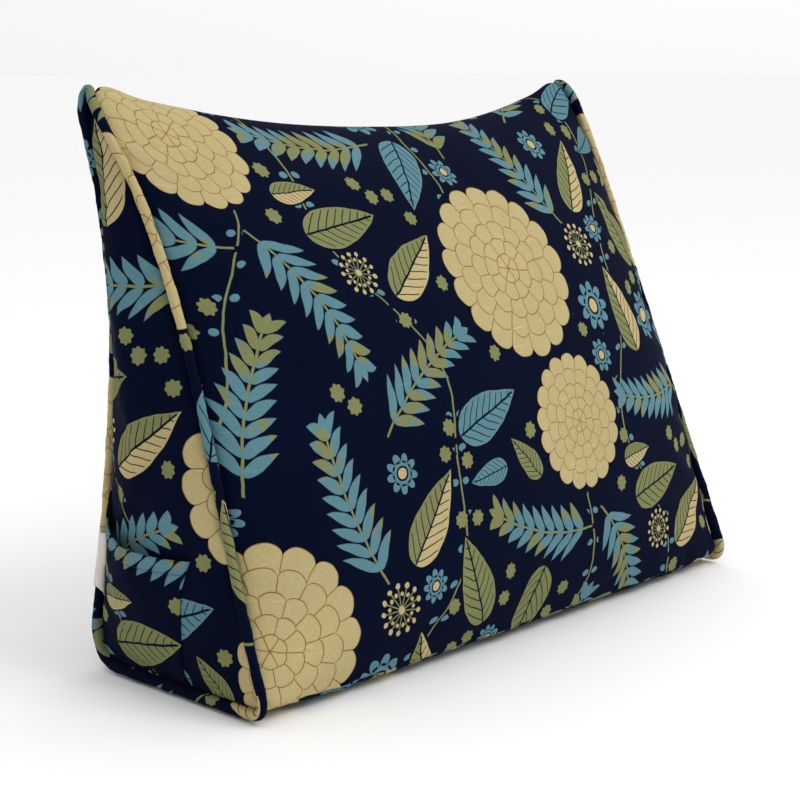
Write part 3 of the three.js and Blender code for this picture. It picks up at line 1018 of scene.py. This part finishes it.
def sprig(u, v, soft=0.008):
    """A bowed stem with lance-shaped leaves in pairs: leaves and stem."""
    v = v + (u * u) * 0.15 - 0.07
    side = v.abs()
    rooted = u - side * 0.85
    across = rooted.fold(0.19)
    along = (rooted - across) * 0.5 + 0.5
    q = (side / (along * -0.2 + 0.38)).clamped()
    half = q.sqrt() * (1 - q) * (0.19 * 0.37 / LEAF_PEAK)
    leaves = (half - across.abs() * 0.76).above(0.006, soft)
    leaves = leaves * along.above(0.07, 0.01) * along.below(0.93, 0.01)
    t = ((u - 0.72) / 0.26).clamped()
    tip = (t.sqrt() * (1 - t) * (0.075 / LEAF_PEAK) - side).above(0.004, soft)
    stem = side.below(0.014, soft) * u.above(-0.98, 0.01) * u.below(0.8, 0.01)
    return leaves.max(tip), stem


def daisy(u, v, soft=0.018):
    """Nine round petals about a plain heart: petals, and heart."""
    r, angle = polar(u, v)
    wave = (angle * 4.5 + 0.3).cos().abs()
    edge = (wave**0.5) * 0.6 + 0.36
    slit = r.above(0.5, soft) * r.below(0.6, soft) * wave.above(0.6, 0.1)
    return (edge - r).above(0, soft) * r.above(0.36, soft) * (1 - slit), r.below(0.26, soft)


def seed_head(u, v, soft=0.018):
    """Fine spokes with a seed at the end of each: seeds, and spokes."""
    r, angle = polar(u, v)
    step = 2 * math.pi / 13
    off = angle.fold(step).abs() * r
    between = (angle + step / 2).fold(step).abs() * r
    spokes = off.below(0.024, soft) * r.above(0.1, soft) * r.below(0.86, soft)
    outer = ((r - 0.86) * (r - 0.86) + off * off).sqrt().below(0.10, soft)
    inner = ((r - 0.58) * (r - 0.58) + between * between).sqrt().below(0.075, soft)
    return any_of([outer, inner, r.below(0.15, soft)]), spokes


def berry(u, v):
    r, angle = polar(u, v)
    return ((angle * 8).cos() * 0.09 + 0.86 - r).above(0, 0.06)


def vine(px, py, x, phase):
    """A stem that wanders up the whole cloth, with buds in pairs along it: stem, and buds."""
    sway = (py * (2 * math.pi / REPEAT_HIGH) + phase).sin() * 46
    sway = sway + (py * (6 * math.pi / REPEAT_HIGH) + phase * 2).sin() * 11
    side = (px - x - sway).fold(2 * REPEAT_WIDE).abs()
    along = py.fold(REPEAT_HIGH / 20)
    bud = ((side - 6.5) * (side - 6.5) * 0.6 + along * along).sqrt()
    return side.below(0.95, 0.4), bud.below(3.0, 0.4)


def noise(tree, vector, scale, detail=2.0, stretch=None):
    node = tree.nodes.new("ShaderNodeTexNoise")
    node.inputs["Scale"].default_value = scale
    node.inputs["Detail"].default_value = detail
    if stretch:
        vector = mapping(tree, vector, (0, 0, 0), 0, stretch)
    tree.links.new(vector, node.inputs["Vector"])
    return Field(tree, node.outputs["Fac"])


def print_group():
    """The print as one group: from a place on the cloth in metres to its colour."""
    tree = bpy.data.node_groups.new("botanical_print", "ShaderNodeTree")
    tree.interface.new_socket("Cloth", in_out="INPUT", socket_type="NodeSocketVector")
    tree.interface.new_socket("Colour", in_out="OUTPUT", socket_type="NodeSocketColor")
    source, sink = tree.nodes.new("NodeGroupInput"), tree.nodes.new("NodeGroupOutput")
    cloth = source.outputs[0]
    wobble = tree.nodes.new("ShaderNodeTexNoise")
    wobble.inputs["Scale"].default_value = 60
    wobble.inputs["Detail"].default_value = 1
    tree.links.new(cloth, wobble.inputs["Vector"])
    apart = tree.nodes.new("ShaderNodeSeparateXYZ")
    tree.links.new(cloth, apart.inputs[0])
    shake = tree.nodes.new("ShaderNodeSeparateXYZ")
    tree.links.new(wobble.outputs["Color"], shake.inputs[0])
    px = Field(tree, apart.outputs[0]) * 1000 + (Field(tree, shake.outputs[0]) - 0.5) * 3.0
    py = Field(tree, apart.outputs[1]) * 1000 + (Field(tree, shake.outputs[1]) - 0.5) * 3.0
    joined = tree.nodes.new("ShaderNodeCombineXYZ")
    column = px / REPEAT_WIDE
    connect(tree, joined.inputs[0], column)
    connect(tree, joined.inputs[1], (py - column * HALF_DROP) / REPEAT_HIGH)
    cell_place = joined.outputs[0]

    placed = scatter()
    own = {}
    for kind in SLIM:
        own[kind] = nearest(tree, cell_place, [motif for motif in placed if motif["kind"] == kind])
    bloom_shape, bloom_lines = bloom(*own["bloom"][:2])
    blade, veins, far_half, leaf_ground = leaf(*own["leaf"][:2])
    fronds, stem = sprig(*own["sprig"][:2])
    petals, heart = daisy(*own["daisy"][:2])
    seeds, spokes = seed_head(*own["head"][:2])
    berries = berry(*own["berry"][:2])
    vines = [
        vine(px, py, x + shift, phase + turn)
        for x, phase in ((40, 0.4), (205, 2.9))
        for shift, turn in ((0, 0), (REPEAT_WIDE, math.pi))
    ]
    clear = 1 - any_of([own["bloom"][3].below(1.05, 0.01), own["daisy"][3].below(1.06, 0.02)])
    clear = clear * (1 - own["head"][3].below(1.02, 0.02)) * (1 - leaf_ground)
    buds_clear = clear * own["sprig"][3].above(1.0, 0.02) * own["berry"][3].above(1.3, 0.05)
    stems = any_of([line for line, _ in vines]) * clear
    buds = any_of([bud for _, bud in vines]) * buds_clear

    blotch = noise(tree, cloth, 26, 3)
    olive_share = blotch.above(0.53, 0.05)
    tone = own["leaf"][2]
    teal_leaf = tone.above(1.5, 0.1)
    olive_leaf = tone.above(0.5, 0.1) * (1 - teal_leaf)

    colour = NAVY
    for over, share in (
        (OLIVE, stems.max(stem)),
        (TEAL, buds),
        (TEAL, fronds),
        (OLIVE, fronds * olive_share),
        (OLIVE, berries),
        (TEAL, petals),
        (CREAM, heart),
        (OLIVE, spokes),
        (CREAM, seeds),
        (CREAM, blade),
        (OLIVE, blade * far_half.max(olive_leaf) * (1 - teal_leaf)),
        (TEAL, blade * teal_leaf),
        (NAVY, veins),
        (CREAM, bloom_shape),
        (BROWN, bloom_lines * bloom_shape),
    ):
        colour = mixed(tree, colour, over, share)
    tree.links.new(colour, sink.inputs[0])
    return tree


def pocket_threads(tree, uv):
    """The hem's stitches, and a loose end of thread that hangs down from its rear corner."""
    apart = tree.nodes.new("ShaderNodeSeparateXYZ")
    tree.links.new(uv, apart.inputs[0])
    y = CUT["pocket"][0] - Field(tree, apart.outputs[0])
    z = Field(tree, apart.outputs[1]) - CUT["pocket"][1]
    front = POCKET_FRONT - MOUTH_FLARE
    share = ((y - front) / (DEPTH / 2 - front)).clamped()
    below = (share**RISE_POWER) * MOUTH_RISE + POCKET_HEIGHT - z
    stitches = (below - HEM_STITCH).abs().below(0.0003, 0.0002) * y.fold(0.0030).abs().below(0.0011, 0.0003)
    (top_y, top_z), (foot_y, foot_z) = THREAD_ENDS
    down = (top_z - z) / (top_z - foot_z)
    line = down * (foot_y - top_y) + (down * 8).sin() * 0.0011 + top_y
    loose = (y - line).abs().below(THREAD_HALF, 0.0003) * down.above(0, 0.01) * down.below(1, 0.01)
    return stitches, loose


def cloth_material(name, group, shift=(0, 0), turn=0.0, on_pocket=False):
    material = bpy.data.materials.new(name)
    material.use_nodes = True
    tree = material.node_tree
    shader = tree.nodes["Principled BSDF"]
    uv = tree.nodes.new("ShaderNodeUVMap")
    uv.uv_map = "cloth"
    where = mapping(tree, uv.outputs[0], (*shift, 0), turn, (1, 1, 1))
    pattern = tree.nodes.new("ShaderNodeGroup")
    pattern.node_tree = group
    tree.links.new(where, pattern.inputs[0])

    # Weave: threads both ways, thick ones here and there, the ink's uneven take-up, and lint
    warp = noise(tree, where, 2100, 1, (1.0, 0.08, 1.0))
    weft = noise(tree, where, 2100, 1, (0.08, 1.0, 1.0))
    slub = noise(tree, where, 520, 1, (0.05, 1.0, 1.0)).above(0.72, 0.05)
    grain = noise(tree, where, 480, 3)
    patch = noise(tree, where, 9, 2)
    threads = (warp + weft) * 0.5
    shade = (threads - 0.5) * 0.6 + (grain - 0.5) * 0.24 + (patch - 0.5) * 0.25 + slub * 0.22 + 1.0
    tone = tree.nodes.new("ShaderNodeHueSaturation")
    connect(tree, tone.inputs["Value"], shade)
    tree.links.new(pattern.outputs[0], tone.inputs["Color"])
    lint = noise(tree, where, 330, 2, (1.0, 0.35, 1.0)).above(0.795, 0.02)
    colour = mixed(tree, tone.outputs[0], (0.45, 0.45, 0.42, 1), lint * 0.5)
    height = threads * 0.6 + grain * 0.25 + noise(tree, where, 38, 2) * 1.4
    if on_pocket:
        stitches, loose = pocket_threads(tree, uv.outputs[0])
        colour = mixed(tree, mixed(tree, colour, SEWING, stitches), LOOSE_THREAD, loose)
        height = height + stitches * 0.6 + loose * 1.5
    tree.links.new(colour, shader.inputs["Base Color"])
    connect(tree, shader.inputs["Roughness"], (grain - 0.5) * 0.18 + 0.84)
    shader.inputs["Sheen Weight"].default_value = 0.01
    shader.inputs["Sheen Roughness"].default_value = 0.45
    shader.inputs["Specular IOR Level"].default_value = 0.025
    bump = tree.nodes.new("ShaderNodeBump")
    bump.inputs["Strength"].default_value = 0.5
    bump.inputs["Distance"].default_value = 0.0006
    tree.links.new(height.socket, bump.inputs["Height"])
    tree.links.new(bump.outputs[0], shader.inputs["Normal"])
    return material


def tape_material():
    material = bpy.data.materials.new("tag_weave")
    material.use_nodes = True
    tree = material.node_tree
    shader = tree.nodes["Principled BSDF"]
    uv = tree.nodes.new("ShaderNodeUVMap")
    uv.uv_map = "cloth"
    ribs = noise(tree, uv.outputs[0], 1500, 1, (1.0, 0.08, 1.0))
    stain = noise(tree, uv.outputs[0], 60, 2)
    shade = (ribs - 0.5) * 0.25 + (stain - 0.5) * 0.2 + 1.0
    tone = tree.nodes.new("ShaderNodeHueSaturation")
    tone.inputs["Color"].default_value = TAPE
    connect(tree, tone.inputs["Value"], shade)
    tree.links.new(tone.outputs[0], shader.inputs["Base Color"])
    shader.inputs["Roughness"].default_value = 0.62
    shader.inputs["Sheen Weight"].default_value = 0.1
    bump = tree.nodes.new("ShaderNodeBump")
    bump.inputs["Strength"].default_value = 0.4
    bump.inputs["Distance"].default_value = 0.0003
    tree.links.new(ribs.socket, bump.inputs["Height"])
    tree.links.new(bump.outputs[0], shader.inputs["Normal"])
    return material


# Room: a pale floor, and soft light that comes mostly from the front right and from above
FLOOR_REACH = 60.0
FLOOR_COLOUR = (0.97, 0.97, 0.97, 1)
ROOM_LEVEL = 0.585
ROOM_RIGHT = 0.34
ROOM_BACK = 0.16
ROOM_ABOVE = 0.56


def add_floor():
    size = FLOOR_REACH
    corners = [(-size, -size, 0), (size, -size, 0), (size, size, 0), (-size, size, 0)]
    floor = new_mesh("floor", corners, [[0, 1, 2, 3]])
    material = bpy.data.materials.new("pale_floor")
    material.use_nodes = True
    shader = material.node_tree.nodes["Principled BSDF"]
    shader.inputs["Base Color"].default_value = FLOOR_COLOUR
    shader.inputs["Roughness"].default_value = 0.95
    shader.inputs["Specular IOR Level"].default_value = 0.1
    floor.data.materials.append(material)


def add_light(name, place, aim, size, power):
    data = bpy.data.lights.new(name, "AREA")
    data.energy = power
    data.size = size
    light = bpy.data.objects.new(name, data)
    direction = Vector(aim) - Vector(place)
    turned = direction.to_track_quat("-Z", "Y").to_matrix().to_4x4()
    light.matrix_world = Matrix.Translation(place) @ turned
    bpy.context.collection.objects.link(light)


def add_lights():
    add_light("key", (0.6, -2.1, 2.6), (0, 0, 0.2), 1.6, 31)
    world = bpy.data.worlds.new("soft_room")
    bpy.context.scene.world = world
    world.use_nodes = True
    tree = world.node_tree
    background = tree.nodes["Background"]
    background.inputs[0].default_value = (1, 1, 1, 1)
    where = tree.nodes.new("ShaderNodeTexCoord")
    apart = tree.nodes.new("ShaderNodeSeparateXYZ")
    tree.links.new(where.outputs["Generated"], apart.inputs[0])
    x, y, z = (Field(tree, socket) for socket in apart.outputs)
    connect(tree, background.inputs[1], x * ROOM_RIGHT + y * ROOM_BACK + z * ROOM_ABOVE + ROOM_LEVEL)
    bpy.context.scene.view_settings.view_transform = "Standard"


def dress(piece, material, node):
    piece.data.materials.append(material)
    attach(piece, "root")
    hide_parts(node)


add_camera()
group = print_group()
cotton = cloth_material("printed_cotton", group)
pocket_cotton = cloth_material("pocket_cotton", group, on_pocket=True)
piping_cotton = cloth_material("piping_cotton", group, (0.13, 0.31), math.radians(45))

body = build_body()
settle(body)
refine(body)
pull_in_seams(body)
lean(body)
dress(body, cotton, "cushion")

panel = BVHTree.FromObject(body, bpy.context.evaluated_depsgraph_get())
for side, name, phase in ((-1, "piping_left", 0.3), (1, "piping_right", 1.9)):
    dress(lean(piping(name + "_cord", side, phase)), piping_cotton, name)

pocket = build_pocket(panel)
dress(pocket, pocket_cotton, "side_pocket")

label, tape_long = build_label(BVHTree.FromObject(pocket, bpy.context.evaluated_depsgraph_get()))
dress(label, tape_material(), "seam_label")

add_floor()
add_lights()
